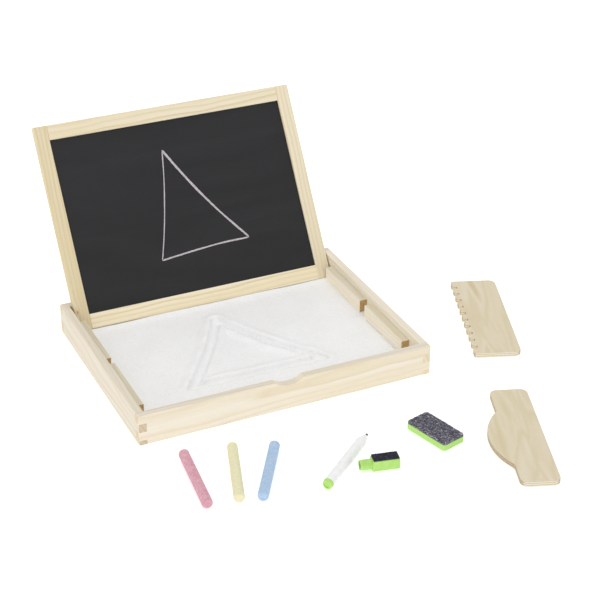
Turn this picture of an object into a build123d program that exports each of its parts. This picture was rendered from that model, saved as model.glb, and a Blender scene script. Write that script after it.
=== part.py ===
from build123d import *
import os
from math import cos, radians, sin

# A child's table-top drawing box: a finger-jointed pine tray filled with fine white sand, a framed
# board that is blackboard on one face and whiteboard on the other, and the loose tools of the set.
# The board drops in behind the side battens and leans back as an easel, or tips forward onto the
# battens as the lid. Millimetres, +Z up, +Y to the rear. The origin is the middle of the underside
# of the tray.

# ---- tray ----
TRAY_LENGTH = 300.0          # along X, outside
TRAY_DEPTH = 229.0           # along Y, outside
TRAY_HEIGHT = 31.5
WALL = 8.0                   # thickness of the four boards
EDGE_ROUND = 1.2             # sanded outer edges
RIM_ROUND = 0.8              # sanded inner top edges
FINGER = 8.75                # height of a corner finger, counted from the top
BASE_THICKNESS = 3.0
BASE_LEDGE = 4.0             # how far the base sheet is let into the boards
BASE_CLEARANCE = 0.2
NOTCH_CHORD = 30.0           # thumb notch in the front board
NOTCH_DEPTH = 5.0
SAND_LEVEL = 10.5            # top of the sand above the table

# ---- side battens ----
BATTEN_WIDTH = 8.4
BATTEN_FRONT_GAP = 21.5      # from the front board to the first batten
FRONT_BATTEN_LENGTH = 80.0
BOARD_SLOT = 10.6            # gap that takes the board on edge, halfway along
BATTEN_ROUND = 0.6

# ---- framed board ----
BOARD_THICKNESS = 7.0
STILE_WIDTH = 14.4
RAIL_WIDTH = 15.3
SHEET_THICKNESS = 1.5        # each of the two faced sheets
GROOVE_DEPTH = 4.0
GROOVE_CLEARANCE = 0.2
BOARD_EDGE_ROUND = 0.7       # sanded edges of the frame, ends included
FOOT_ROUND = 2.5             # back edge of the foot
SIDE_GAP = 1.75              # board to side wall
SHUT_REAR_GAP = 1.9          # board to rear board when it lies flat
SHUT_FRONT_GAP = 0.9
SEAT_GAP = 0.2               # board face to batten tops when it lies flat
LEAN = 32.3                  # degrees back from upright
LEAN_GAP = 0.3               # board back to the rear board's top edge
FOOT_GAP = 0.5               # board foot to the rear end of the battens
TURN_OFFSET = 1.0            # turning axis in front of the blackboard face
SAND_FOOT_GAP = 0.7          # trough pressed in the sand under the swinging foot

# ---- chalks ----
CHALK_DIAMETER = 10.0
CHALK_LENGTH = 80.5
CHALK_CHAMFER = 0.8
CHALK_PLACES = {             # centre x, centre y, direction in degrees
    "chalk_pink": (-124.9, -188.4, 83.5),
    "chalk_yellow": (-89.0, -194.2, 71.6),
    "chalk_blue": (-61.4, -204.3, 58.5),
}

# ---- whiteboard marker ----
MARKER_DIAMETER = 10.0
BARREL_LENGTH = 71.5
BARREL_WALL = 0.9
PLUG_LENGTH = 3.5            # green end plug that shows
PLUG_TAPER = 0.5             # how far the plug draws in all round
PLUG_RIM_ROUND = 0.7
PLUG_DISH_INSET = 1.7        # rim left round the dished end
PLUG_DISH_DEPTH = 0.8
SPIGOT_LENGTH = 6.0          # parts pushed into the barrel
SPIGOT_CLEARANCE = 0.05
COLLAR_LENGTH = 3.5          # straight collar that the cap grips
COLLAR_STEP = 1.2            # from the barrel down to the collar, all round
CONE_LENGTH = 6.0
NOSE_TIP_DIAMETER = 3.6
NIB_DIAMETER = 2.4
NIB_REACH = 3.6              # nib past the nose
NIB_TAIL = 4.0               # nib inside the ink core
CORE_CLEARANCE = 0.6         # radial, inside the barrel
MARKER_PLACE = (-25.0, -246.4, 39.7)     # end of the plug, direction

# ---- marker cap with its own small wiper ----
CAP_NECK_WALL = 0.6
CAP_NECK_LENGTH = 11.0
CAP_RING_COUNT = 3           # grip rings round the neck
CAP_RING_FIRST = 3.2         # from the mouth
CAP_RING_PITCH = 2.8
CAP_RING_WIDTH = 1.2
CAP_RING_PROUD = 0.3
CAP_BORE_CLEARANCE = 0.15    # radial, round the collar
CAP_BORE_DEPTH = 21.0
CAP_BLOCK_LENGTH = 25.0
CAP_BLOCK_SIDE_STEP = 1.15   # from the neck out to the sides of the block
CAP_BLOCK_TOP_STEP = 0.45    # from the neck up to the top of the block
CAP_EDGE_ROUND = 0.6
CAP_FELT_THICKNESS = 1.7
CAP_FELT_INSET = 0.1
CAP_PLACE = (14.3, -231.4, -12.0)        # mouth of the neck, direction

# ---- board wiper ----
WIPER_LENGTH = 50.0
WIPER_WIDTH = 26.0
WIPER_BASE = 6.0
WIPER_FELT = 2.5
WIPER_CORNER = 3.0
WIPER_EDGE_ROUND = 0.7
WIPER_FELT_INSET = 0.3
WIPER_PLACE = (102.4, -210.7, 105.0)     # centre, direction

# ---- plywood sand tools ----
PLY_THICKNESS = 5.0
PLY_EDGE_ROUND = 0.4
COMB_LENGTH = 150.0
COMB_WIDTH = 47.0
COMB_TEETH = 11
COMB_GAP = 6.2
COMB_GAP_DEPTH = 5.2
COMB_TIP_ROUND = 2.0
COMB_CORNER = 7.0
COMB_TOOTH_CORNER = 3.0
COMB_PLACE = (252.3, -45.4, 69.7)        # centre, direction
SCRAPER_LENGTH = 151.5
SCRAPER_WIDTH = 36.0
SCRAPER_BULGE = 15.3         # round belly past the straight side
BULGE_START = 28.5           # along the scraper, from its near end
BULGE_END = 114.3
SCRAPER_CORNER = 7.0
BULGE_BLEND = 9.0            # hollow where the belly meets the near end
BULGE_NICK = 1.2             # hollow at the far end
SCRAPER_PLACE = (164.3, -326.6, 70.1)    # near end of the straight edge, direction

# ---- what follows from them ----
INNER_LENGTH = TRAY_LENGTH - 2 * WALL
INNER_DEPTH = TRAY_DEPTH - 2 * WALL
REAR_FACE = INNER_DEPTH / 2              # inner face of the rear board
BATTEN_TOP = TRAY_HEIGHT - BOARD_THICKNESS - SEAT_GAP
BOARD_WIDTH = INNER_LENGTH - 2 * SIDE_GAP
BOARD_LENGTH = INNER_DEPTH - SHUT_REAR_GAP - SHUT_FRONT_GAP
SHEETS = 2 * SHEET_THICKNESS
FACE_RECESS = (BOARD_THICKNESS - SHEETS) / 2

# The board has two resting places, leaning and flat, and one turn about a fixed axis joins them.
# FOOT_REACH is how far that axis lies above the foot, measured along the board.
UP_Y = sin(radians(LEAN))
UP_Z = cos(radians(LEAN))
SHUT_FACE_Z = TRAY_HEIGHT - BOARD_THICKNESS
TURN_Z = SHUT_FACE_Z - TURN_OFFSET
FOOT_REACH = (
    BOARD_THICKNESS + LEAN_GAP + TURN_OFFSET + (TRAY_HEIGHT - TURN_Z) * UP_Y
) / UP_Z - SHUT_REAR_GAP
TURN_Y = REAR_FACE - SHUT_REAR_GAP - FOOT_REACH
FOOT_Y = TURN_Y - FOOT_REACH * UP_Y + TURN_OFFSET * UP_Z
FOOT_Z = TURN_Z - FOOT_REACH * UP_Z - TURN_OFFSET * UP_Y

FRONT_BATTEN_START = -INNER_DEPTH / 2 + BATTEN_FRONT_GAP
SLOT_START = FRONT_BATTEN_START + FRONT_BATTEN_LENGTH
REAR_BATTEN_START = SLOT_START + BOARD_SLOT
REAR_BATTEN_END = FOOT_Y - FOOT_GAP


def block(x0, x1, y0, y1, z0, z1):
    """A plain block between two corners."""
    size = Box(x1 - x0, y1 - y0, z1 - z0)
    return Pos((x0 + x1) / 2, (y0 + y1) / 2, (z0 + z1) / 2) * size


def lay(solid, place, height=0.0):
    """Turn a loose piece about Z and set it down on the table."""
    x, y, direction = place
    return Pos(x, y, height) * Rot(0, 0, direction) * solid


def rod(diameter, start, end):
    """A round bar along X."""
    bar = Cylinder(diameter / 2, end - start)
    return Pos((start + end) / 2, 0, 0) * Rot(0, 90, 0) * bar


# ---------------------------------------------------------------- tray
def finger_bands():
    """Heights of the corner fingers from the top down: rails and side walls take turns."""
    rail_bands, wall_bands = [], []
    top = TRAY_HEIGHT
    owner = rail_bands
    while top > 0:
        bottom = max(top - FINGER, 0.0)
        owner.append((bottom, top))
        owner = wall_bands if owner is rail_bands else rail_bands
        top = bottom
    return rail_bands, wall_bands


def tray_ring():
    """The four boards as one sanded ring, with the rebate for the base sheet."""
    outside = block(-TRAY_LENGTH / 2, TRAY_LENGTH / 2, -TRAY_DEPTH / 2, TRAY_DEPTH / 2, 0, TRAY_HEIGHT)
    outside = fillet(outside.edges(), EDGE_ROUND)
    inside = block(-INNER_LENGTH / 2, INNER_LENGTH / 2, -INNER_DEPTH / 2, INNER_DEPTH / 2, -1, TRAY_HEIGHT + 1)
    ring = outside - inside
    rim = [
        e
        for e in ring.edges().filter_by(GeomType.LINE)
        if abs(e.center().Z - TRAY_HEIGHT) < 0.01
        and abs(e.center().X) < INNER_LENGTH / 2 + 0.01
        and abs(e.center().Y) < INNER_DEPTH / 2 + 0.01
    ]
    ring = fillet(rim, RIM_ROUND)
    rebate_x = INNER_LENGTH / 2 + BASE_LEDGE
    rebate_y = INNER_DEPTH / 2 + BASE_LEDGE
    return ring - block(-rebate_x, rebate_x, -rebate_y, rebate_y, -1, BASE_THICKNESS)


def rail(ring, bands, side):
    """A front (-1) or rear (+1) board with its fingers."""
    y0, y1 = sorted((side * INNER_DEPTH / 2, side * TRAY_DEPTH / 2))
    keep = block(-INNER_LENGTH / 2, INNER_LENGTH / 2, y0, y1, 0, TRAY_HEIGHT)
    for bottom, top in bands:
        keep += block(-TRAY_LENGTH / 2, TRAY_LENGTH / 2, y0, y1, bottom, top)
    return ring & keep


def side_wall(ring, bands, side):
    """A left (-1) or right (+1) board with its fingers."""
    x0, x1 = sorted((side * INNER_LENGTH / 2, side * TRAY_LENGTH / 2))
    keep = block(x0, x1, -INNER_DEPTH / 2, INNER_DEPTH / 2, 0, TRAY_HEIGHT)
    for bottom, top in bands:
        keep += block(x0, x1, -TRAY_DEPTH / 2, TRAY_DEPTH / 2, bottom, top)
    return ring & keep


def thumb_notch():
    """A round-bottomed cutter through the top of the front board."""
    radius = (NOTCH_CHORD**2 / 4 + NOTCH_DEPTH**2) / (2 * NOTCH_DEPTH)
    cutter = Rot(90, 0, 0) * Cylinder(radius, 3 * WALL)
    return Pos(0, -(TRAY_DEPTH - WALL) / 2, TRAY_HEIGHT - NOTCH_DEPTH + radius) * cutter


def base_panel():
    half_x = INNER_LENGTH / 2 + BASE_LEDGE - BASE_CLEARANCE
    half_y = INNER_DEPTH / 2 + BASE_LEDGE - BASE_CLEARANCE
    return block(-half_x, half_x, -half_y, half_y, 0, BASE_THICKNESS)


def batten(side, start, end):
    """One ledge strip glued to a side wall, standing on the base sheet."""
    x0, x1 = sorted((side * (INNER_LENGTH / 2 - BATTEN_WIDTH), side * INNER_LENGTH / 2))
    strip = block(x0, x1, start, end, BASE_THICKNESS, BATTEN_TOP)
    inner_x = side * (INNER_LENGTH / 2 - BATTEN_WIDTH)
    top_edges = strip.edges().filter_by(lambda e: abs(e.center().Z - BATTEN_TOP) < 0.01)
    shown = [e for e in top_edges if abs(e.center().X - side * INNER_LENGTH / 2) > 0.01]
    uprights = [
        e
        for e in strip.edges().filter_by(Axis.Z)
        if abs(e.center().X - inner_x) < 0.01
    ]
    return fillet(shown + uprights, BATTEN_ROUND)


def sand_bed():
    """The sand fills the tray round the battens; the board's foot has pressed a trough at the rear."""
    sand = block(-INNER_LENGTH / 2, INNER_LENGTH / 2, -INNER_DEPTH / 2, INNER_DEPTH / 2, BASE_THICKNESS, SAND_LEVEL)
    for side in (-1, 1):
        x0, x1 = sorted((side * (INNER_LENGTH / 2 - BATTEN_WIDTH), side * INNER_LENGTH / 2))
        sand -= block(x0, x1, FRONT_BATTEN_START, SLOT_START, BASE_THICKNESS, SAND_LEVEL)
        sand -= block(x0, x1, REAR_BATTEN_START, REAR_BATTEN_END, BASE_THICKNESS, SAND_LEVEL)
    back = BOARD_THICKNESS + TURN_OFFSET - FOOT_ROUND
    swing = ((FOOT_REACH - FOOT_ROUND) ** 2 + back**2) ** 0.5 + FOOT_ROUND
    floor = TURN_Z - swing - SAND_FOOT_GAP
    return sand - block(-INNER_LENGTH / 2, INNER_LENGTH / 2, REAR_BATTEN_END, REAR_FACE, floor, SAND_LEVEL)


# ---------------------------------------------------------------- framed board
# Drawn flat: x across, y up from the foot, z forward, with the blackboard side at z = 0.
def stand(solid):
    """Lean the flat-drawn board back in its place behind the battens."""
    return Pos(0, FOOT_Y, FOOT_Z) * Rot(90 - LEAN, 0, 0) * solid


def foot_cutter():
    """What rounding the back edge of the foot takes off, over the whole width."""
    corner = block(-BOARD_WIDTH, BOARD_WIDTH, -1, FOOT_ROUND, -BOARD_THICKNESS - 1, -BOARD_THICKNESS + FOOT_ROUND)
    round_off = Pos(0, FOOT_ROUND, -BOARD_THICKNESS + FOOT_ROUND) * Rot(0, 90, 0)
    return corner - round_off * Cylinder(FOOT_ROUND, 3 * BOARD_WIDTH)


def groove_band(clearance):
    """Front and back of the groove that holds the two sheets."""
    return -FACE_RECESS + clearance / 2, -FACE_RECESS - SHEETS - clearance / 2


def stile(side):
    outer = side * BOARD_WIDTH / 2
    inner = side * (BOARD_WIDTH / 2 - STILE_WIDTH)
    x0, x1 = sorted((outer, inner))
    strip = block(x0, x1, 0, BOARD_LENGTH, -BOARD_THICKNESS, 0)
    joined = [e for e in strip.edges().filter_by(Axis.Z) if abs(e.center().X - inner) < 0.01]
    strip = fillet([e for e in strip.edges() if e not in joined], BOARD_EDGE_ROUND)
    front, back = groove_band(GROOVE_CLEARANCE)
    g0, g1 = sorted((inner - side, inner + side * GROOVE_DEPTH))
    return strip - block(g0, g1, -1, BOARD_LENGTH + 1, back, front) - foot_cutter()


def cross_rail(low, high, opening_at):
    """A top or bottom rail with stub tongues that enter the grooves of the stiles."""
    half = BOARD_WIDTH / 2 - STILE_WIDTH
    strip = block(-half, half, low, high, -BOARD_THICKNESS, 0)
    strip = fillet(strip.edges().filter_by(Axis.X), BOARD_EDGE_ROUND)
    tongue = half + GROOVE_DEPTH - GROOVE_CLEARANCE
    front, back = groove_band(0)
    strip += block(-tongue, tongue, low + BOARD_EDGE_ROUND, high - BOARD_EDGE_ROUND, back, front)
    front, back = groove_band(GROOVE_CLEARANCE)
    if opening_at == high:
        strip -= block(-BOARD_WIDTH, BOARD_WIDTH, high - GROOVE_DEPTH, high + 1, back, front)
        return strip - foot_cutter()
    return strip - block(-BOARD_WIDTH, BOARD_WIDTH, low - 1, low + GROOVE_DEPTH, back, front)


def sheet(front):
    """One faced sheet, let into the grooves on all four sides."""
    reach = GROOVE_DEPTH - GROOVE_CLEARANCE
    half = BOARD_WIDTH / 2 - STILE_WIDTH + reach
    low = RAIL_WIDTH - reach
    return block(-half, half, low, BOARD_LENGTH - low, front - SHEET_THICKNESS, front)


# ---------------------------------------------------------------- loose tools
def chalk():
    stick = rod(CHALK_DIAMETER, -CHALK_LENGTH / 2, CHALK_LENGTH / 2)
    return chamfer(stick.edges().filter_by(GeomType.CIRCLE), CHALK_CHAMFER)


BARREL_BORE = MARKER_DIAMETER - 2 * BARREL_WALL
PLUG_END_DIAMETER = MARKER_DIAMETER - 2 * PLUG_TAPER
COLLAR_DIAMETER = MARKER_DIAMETER - 2 * COLLAR_STEP
CORE_DIAMETER = BARREL_BORE - 2 * CORE_CLEARANCE
BARREL_END = PLUG_LENGTH + BARREL_LENGTH
NOSE_TIP = BARREL_END + COLLAR_LENGTH + CONE_LENGTH
NIB_BACK = BARREL_END - SPIGOT_LENGTH - NIB_TAIL
CAP_BORE_DIAMETER = COLLAR_DIAMETER + 2 * CAP_BORE_CLEARANCE
CAP_NECK_DIAMETER = CAP_BORE_DIAMETER + 2 * CAP_NECK_WALL
CAP_BLOCK_WIDTH = CAP_NECK_DIAMETER + 2 * CAP_BLOCK_SIDE_STEP
CAP_BLOCK_HEIGHT = CAP_NECK_DIAMETER + 2 * CAP_BLOCK_TOP_STEP


def marker_barrel():
    tube = rod(MARKER_DIAMETER, PLUG_LENGTH, BARREL_END)
    tube = fillet(tube.edges().filter_by(GeomType.CIRCLE), BARREL_WALL / 3)
    return tube - rod(BARREL_BORE, 0, BARREL_END + 1)


def marker_end_plug():
    """Tapered green plug with a dished end and a spigot pushed into the barrel."""
    taper = Rot(0, 90, 0) * Cone(PLUG_END_DIAMETER / 2, MARKER_DIAMETER / 2, PLUG_LENGTH)
    taper = Pos(PLUG_LENGTH / 2, 0, 0) * taper
    end_rim = taper.edges().filter_by(GeomType.CIRCLE).sort_by(Axis.X)[0]
    taper = fillet(end_rim, PLUG_RIM_ROUND)
    taper -= rod(PLUG_END_DIAMETER - 2 * PLUG_DISH_INSET, -1, PLUG_DISH_DEPTH)
    return taper + rod(BARREL_BORE - 2 * SPIGOT_CLEARANCE, PLUG_LENGTH, PLUG_LENGTH + SPIGOT_LENGTH)


def marker_nose():
    """Collar and cone in front, spigot behind, bored for the nib."""
    body = rod(BARREL_BORE - 2 * SPIGOT_CLEARANCE, BARREL_END - SPIGOT_LENGTH, BARREL_END)
    body += rod(COLLAR_DIAMETER, BARREL_END, BARREL_END + COLLAR_LENGTH)
    cone = Rot(0, 90, 0) * Cone(COLLAR_DIAMETER / 2, NOSE_TIP_DIAMETER / 2, CONE_LENGTH)
    body += Pos(NOSE_TIP - CONE_LENGTH / 2, 0, 0) * cone
    return body - rod(NIB_DIAMETER + 2 * SPIGOT_CLEARANCE, 0, NOSE_TIP + 1)


def marker_nib():
    """Bullet nib that runs back into the ink core."""
    stick = rod(NIB_DIAMETER, NIB_BACK, NOSE_TIP + NIB_REACH)
    point = stick.edges().filter_by(GeomType.CIRCLE).sort_by(Axis.X)[-1]
    return fillet(point, NIB_DIAMETER * 0.4)


def marker_ink_core():
    """Fibre filter rod that holds the ink, bored for the tail of the nib."""
    core = rod(CORE_DIAMETER, PLUG_LENGTH + SPIGOT_LENGTH, BARREL_END - SPIGOT_LENGTH)
    return core - rod(NIB_DIAMETER + 2 * SPIGOT_CLEARANCE, NIB_BACK, BARREL_END)


def cap_shell():
    """Round neck with grip rings on a square-sided block, bored for the marker's nose."""
    half_w = CAP_BLOCK_WIDTH / 2
    half_h = CAP_BLOCK_HEIGHT / 2
    end = CAP_NECK_LENGTH + CAP_BLOCK_LENGTH
    body = fillet(block(CAP_NECK_LENGTH, end, -half_w, half_w, -half_h, half_h).edges(), CAP_EDGE_ROUND)
    body += rod(CAP_NECK_DIAMETER, 0, CAP_NECK_LENGTH + CAP_EDGE_ROUND)
    for number in range(CAP_RING_COUNT):
        start = CAP_RING_FIRST + number * CAP_RING_PITCH
        body += rod(CAP_NECK_DIAMETER + 2 * CAP_RING_PROUD, start, start + CAP_RING_WIDTH)
    return body - rod(CAP_BORE_DIAMETER, -1, CAP_BORE_DEPTH)


def cap_felt():
    half_w = CAP_BLOCK_WIDTH / 2 - CAP_EDGE_ROUND - CAP_FELT_INSET / 2
    start = CAP_NECK_LENGTH + CAP_EDGE_ROUND + CAP_FELT_INSET / 2
    end = CAP_NECK_LENGTH + CAP_BLOCK_LENGTH - CAP_EDGE_ROUND - CAP_FELT_INSET / 2
    low = CAP_BLOCK_HEIGHT / 2
    return block(start, end, -half_w, half_w, low, low + CAP_FELT_THICKNESS)


def wiper_layer(inset, low, high):
    """A round-cornered layer of the board wiper."""
    outline = RectangleRounded(WIPER_LENGTH - 2 * inset, WIPER_WIDTH - 2 * inset, WIPER_CORNER - inset)
    return Pos(0, 0, low) * extrude(outline, high - low)


def wiper_base():
    base = wiper_layer(0, 0, WIPER_BASE)
    return fillet(base.faces().sort_by(Axis.Z)[0].edges(), WIPER_EDGE_ROUND)


def wiper_felt():
    felt = wiper_layer(WIPER_FELT_INSET, WIPER_BASE, WIPER_BASE + WIPER_FELT)
    return fillet(felt.faces().sort_by(Axis.Z)[-1].edges(), WIPER_EDGE_ROUND)


def ply(outline):
    """Cut a plywood piece and sand its two faces' edges."""
    piece = extrude(outline, PLY_THICKNESS)
    faces = piece.faces().filter_by(Axis.Z)
    return fillet(faces.edges(), PLY_EDGE_ROUND)


def sand_comb():
    """Rounded board with one toothed long edge."""
    outline = Rectangle(COMB_LENGTH, COMB_WIDTH)
    plain = [v for v in outline.vertices() if v.Y < 0]
    outline = fillet(plain, COMB_CORNER)
    pitch = COMB_LENGTH / COMB_TEETH
    straight = COMB_GAP_DEPTH - COMB_GAP / 2
    for i in range(1, COMB_TEETH):
        x = -COMB_LENGTH / 2 + i * pitch
        outline -= Pos(x, COMB_WIDTH / 2 - straight / 2 + 1) * Rectangle(COMB_GAP, straight + 2)
        outline -= Pos(x, COMB_WIDTH / 2 - straight) * Circle(COMB_GAP / 2)
    tips = [v for v in outline.vertices() if v.Y > COMB_WIDTH / 2 - 0.01]
    ends = [v for v in tips if abs(v.X) > COMB_LENGTH / 2 - 0.01]
    outline = fillet([v for v in tips if v not in ends], COMB_TIP_ROUND)
    ends = [v for v in outline.vertices() if abs(v.X) > COMB_LENGTH / 2 - 0.01 and v.Y > COMB_WIDTH / 2 - 0.01]
    return ply(fillet(ends, COMB_TOOTH_CORNER))


def sand_scraper():
    """Straight on one side, with a round belly on the other."""
    side = SCRAPER_WIDTH
    middle = ((BULGE_START + BULGE_END) / 2, side + SCRAPER_BULGE)
    path = [
        Line((0, 0), (SCRAPER_LENGTH, 0)),
        Line((SCRAPER_LENGTH, 0), (SCRAPER_LENGTH, side)),
        Line((SCRAPER_LENGTH, side), (BULGE_END, side)),
        ThreePointArc((BULGE_END, side), middle, (BULGE_START, side)),
        Line((BULGE_START, side), (0, side)),
        Line((0, side), (0, 0)),
    ]
    outline = make_face(path)
    corners = [v for v in outline.vertices() if v.X < 0.01 or v.X > SCRAPER_LENGTH - 0.01]
    outline = fillet(corners, SCRAPER_CORNER)
    near = [v for v in outline.vertices() if abs(v.X - BULGE_START) < 0.01 and abs(v.Y - side) < 0.01]
    outline = fillet(near, BULGE_BLEND)
    far = [v for v in outline.vertices() if abs(v.X - BULGE_END) < 0.01 and abs(v.Y - side) < 0.01]
    return ply(fillet(far, BULGE_NICK))


# ---------------------------------------------------------------- assembly
def tray_nodes():
    rail_bands, wall_bands = finger_bands()
    ring = tray_ring()
    nodes = {
        "front_rail": rail(ring, rail_bands, -1) - thumb_notch(),
        "rear_rail": rail(ring, rail_bands, 1),
        "left_wall": side_wall(ring, wall_bands, -1),
        "right_wall": side_wall(ring, wall_bands, 1),
        "base_panel": base_panel(),
        "sand_bed": sand_bed(),
    }
    for name, side in (("left", -1), ("right", 1)):
        nodes[f"{name}_front_batten"] = batten(side, FRONT_BATTEN_START, SLOT_START)
        nodes[f"{name}_rear_batten"] = batten(side, REAR_BATTEN_START, REAR_BATTEN_END)
    return nodes


def board_nodes():
    flat = {
        "board_left_stile": stile(-1),
        "board_right_stile": stile(1),
        "board_bottom_rail": cross_rail(0, RAIL_WIDTH, RAIL_WIDTH),
        "board_top_rail": cross_rail(BOARD_LENGTH - RAIL_WIDTH, BOARD_LENGTH, BOARD_LENGTH - RAIL_WIDTH),
        "blackboard_sheet": sheet(-FACE_RECESS),
        "whiteboard_sheet": sheet(-FACE_RECESS - SHEET_THICKNESS),
    }
    return {name: stand(solid) for name, solid in flat.items()}


def tool_nodes():
    nodes = {name: lay(chalk(), place, CHALK_DIAMETER / 2) for name, place in CHALK_PLACES.items()}
    marker = {
        "marker_barrel": marker_barrel(),
        "marker_end_plug": marker_end_plug(),
        "marker_nose": marker_nose(),
        "marker_nib": marker_nib(),
        "marker_ink_core": marker_ink_core(),
    }
    for name, solid in marker.items():
        nodes[name] = lay(solid, MARKER_PLACE, MARKER_DIAMETER / 2)
    for name, solid in (("cap_shell", cap_shell()), ("cap_felt", cap_felt())):
        nodes[name] = lay(solid, CAP_PLACE, CAP_BLOCK_HEIGHT / 2)
    nodes["wiper_base"] = lay(wiper_base(), WIPER_PLACE)
    nodes["wiper_felt"] = lay(wiper_felt(), WIPER_PLACE)
    nodes["sand_comb"] = lay(sand_comb(), COMB_PLACE)
    nodes["sand_scraper"] = lay(sand_scraper(), SCRAPER_PLACE)
    return nodes


def main():
    os.makedirs("parts", exist_ok=True)
    nodes = {**tray_nodes(), **board_nodes(), **tool_nodes()}
    for name, solid in nodes.items():
        export_step(solid, f"parts/{name}.step")
    print(len(nodes), "sub-parts written")
    print(f"board turns about y {TURN_Y:.3f}, z {TURN_Z:.3f}, by {90 + LEAN:.1f} degrees")
    print(f"foot at y {FOOT_Y:.3f}, z {FOOT_Z:.3f}; battens end at y {REAR_BATTEN_END:.3f}")


main()
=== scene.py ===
# %% [markdown]
# # A child's drawing box: pine, sand, chalk and felt
# A shallow pine tray holds a bed of fine white sand to draw in with a finger or with two plywood
# tools. Behind its side battens stands a framed board, black on one face and white on the other.
# Chalks, a marker with its cap and a felt wiper lie in front of it.
#
# The shapes that were drawn to size come ready as nodes. This lesson gives each of them its real
# surface, and builds the things that a drawing leaves plain: the sand with what was drawn in it,
# the chalk line on the board, the dusty chalk sticks and the felt.

# %% Load the measured model
import math
import random

import bmesh
import bpy
import numpy as np
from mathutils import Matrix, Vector, noise


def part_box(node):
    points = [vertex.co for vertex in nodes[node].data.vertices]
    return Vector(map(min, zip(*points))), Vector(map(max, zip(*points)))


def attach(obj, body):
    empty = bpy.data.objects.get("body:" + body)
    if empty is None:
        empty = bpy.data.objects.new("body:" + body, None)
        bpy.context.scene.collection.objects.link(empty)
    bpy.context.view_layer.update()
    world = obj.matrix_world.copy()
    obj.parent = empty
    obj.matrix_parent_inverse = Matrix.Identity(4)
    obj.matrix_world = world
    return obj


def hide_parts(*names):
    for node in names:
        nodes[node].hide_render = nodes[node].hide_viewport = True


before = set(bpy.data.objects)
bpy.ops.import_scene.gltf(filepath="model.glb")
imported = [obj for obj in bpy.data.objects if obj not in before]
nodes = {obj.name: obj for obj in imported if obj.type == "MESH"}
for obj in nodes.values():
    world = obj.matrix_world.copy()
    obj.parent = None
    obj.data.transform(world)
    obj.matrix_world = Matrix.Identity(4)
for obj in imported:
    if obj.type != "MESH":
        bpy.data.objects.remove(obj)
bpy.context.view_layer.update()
MM = 0.001
X, Y, Z = Vector((1, 0, 0)), Vector((0, 1, 0)), Vector((0, 0, 1))

# %% [markdown]
# ## Helpers for every finish
# Colours are easiest to choose as hex codes, the way a paint shop or a web page gives them, but a
# shader works in linear light. One function turns the first into the second. A finish is a small
# network of nodes, so a second function adds one node, with its options and whatever feeds its
# sockets, and that keeps each recipe short enough to read. A third turns a point's place from metres
# into millimetres, in which all patterns are scaled, and a fourth feeds the results to the shader.
# The last ones do what most recipes need: shade a colour, tell ends from faces, begin a material.

# %% Colours and nodes
def linear(code):
    """An sRGB hex colour as linear light, with full alpha."""
    parts = [int(code[i:i + 2], 16) / 255 for i in (1, 3, 5)]
    return [p / 12.92 if p <= 0.04045 else ((p + 0.055) / 1.055) ** 2.4 for p in parts] + [1.0]


def add(tree, kind, inputs=None, stops=None, **options):
    """Add a node. inputs gives values or links by socket, stops the colours of a ramp."""
    node = tree.nodes.new("ShaderNode" + kind)
    for name, value in options.items():
        setattr(node, name, value)
    for key, value in (inputs or {}).items():
        if isinstance(value, bpy.types.Node):
            value = value.outputs[0]
        if isinstance(value, bpy.types.NodeSocket):
            tree.links.new(value, node.inputs[key])
        else:
            node.inputs[key].default_value = value
    if stops:
        ramp = node.color_ramp.elements
        while len(ramp) < len(stops):
            ramp.new(0.5)
        for element, (position, colour) in zip(ramp, stops):
            element.position = position
            element.color = linear(colour) if isinstance(colour, str) else (colour,) * 3 + (1,)
    return node


def in_mm(tree):
    """A point's place in the shared frame, in millimetres, so that every scale is a real size."""
    place = add(tree, "TexCoord").outputs["Object"]
    return add(tree, "VectorMath", {0: place, "Scale": 1 / MM}, operation="SCALE")


def connect(tree, shader, **sources):
    """Feed sockets of the shader, such as Base_Color=colour, Normal=bump."""
    for key, node in sources.items():
        tree.links.new(node.outputs[0], shader.inputs[key.replace("_", " ")])


def shaded(tree, colour, pattern, low, high, dark, bright):
    """The colour times a pattern, whose span from low to high becomes dark to bright."""
    shade = add(tree, "MapRange", {0: pattern, 1: low, 2: high, 3: dark, 4: bright})
    return add(tree, "MixRGB", {0: 1.0, 1: colour, 2: shade}, blend_type="MULTIPLY")


def squareness(tree, place, axis):
    """How squarely a face looks along a direction, either way, from 0 to 1."""
    dot = add(tree, "VectorMath", {0: place.outputs["Normal"], 1: axis}, operation="DOT_PRODUCT")
    return add(tree, "Math", {0: dot.outputs["Value"]}, operation="ABSOLUTE")


def new_finish(name, roughness, ior=1.5, **constants):
    """A material with one Principled shader. Whatever is the same all over is set on it here."""
    material = bpy.data.materials.new(name)
    material.use_nodes = True
    tree = material.node_tree
    shader = tree.nodes["Principled BSDF"]
    shader.inputs["Roughness"].default_value = roughness
    shader.inputs["IOR"].default_value = ior
    for key, value in constants.items():
        shader.inputs[key.replace("_", " ")].default_value = value
    return material, tree, shader


def wear(node_name, material):
    """Give a measured node its finish."""
    slots = nodes[node_name].material_slots
    for slot in slots:
        slot.material = material
    if not slots:
        nodes[node_name].data.materials.append(material)


print("white is", linear("#FFFFFF"), "and mid grey is", round(linear("#808080")[0], 3))

# %% [markdown]
# ## Which way a piece lies
# Wood has a direction, and so do chalk and felt. The loose pieces lie at odd angles, so their
# directions are read from their own corners: the longest spread of a piece's points is its length,
# the next its width. The leaning board gives three directions of its own in the same way.

# %% Directions from a piece's own points
def lie_of(node_name):
    """Middle, length, width and thickness directions of a node, longest first."""
    points = np.array([v.co for v in nodes[node_name].data.vertices])
    low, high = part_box(node_name)
    spread = np.linalg.svd(points - points.mean(0), full_matrices=False)[2]
    return (low + high) / 2, *[Vector(d) for d in spread]


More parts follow.
